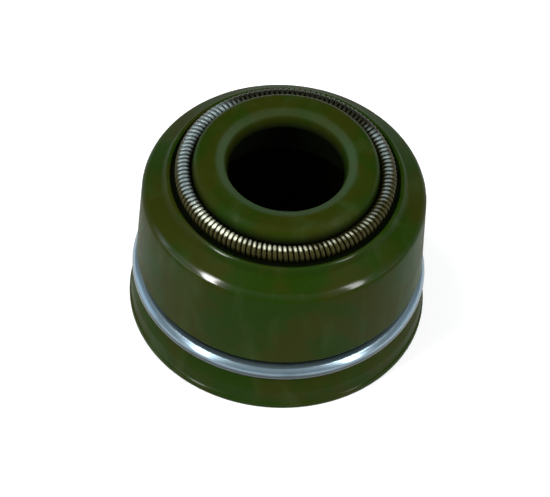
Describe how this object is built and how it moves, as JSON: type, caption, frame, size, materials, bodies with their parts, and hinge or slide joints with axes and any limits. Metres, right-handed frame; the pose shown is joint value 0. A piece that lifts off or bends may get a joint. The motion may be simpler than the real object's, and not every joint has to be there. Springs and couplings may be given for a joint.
{
  "type": "valve stem seal",
  "caption": "Valve stem seal: stepped rubber sleeve with a stem lip held by a garter spring, a valve guide socket below, and a steel wire ring around its flared skirt.",
  "frame": {"origin": "centre of the foot, on the plane that the seal stands on", "axes": "+Z along the valve stem's axis, from the foot towards the lip"},
  "size_m": [0.0114, 0.0114, 0.0081],
  "materials": {
    "rubber": "smooth, semi-gloss, dark olive green",
    "ring_steel": "bright drawn wire",
    "spring_steel": "bright coiled wire with an oily brown tinge"
  },
  "bodies": {
    "root": {"rubber_body": "rubber", "retaining_ring": "ring_steel", "garter_spring": "spring_steel"}
  },
  "joints": []
}
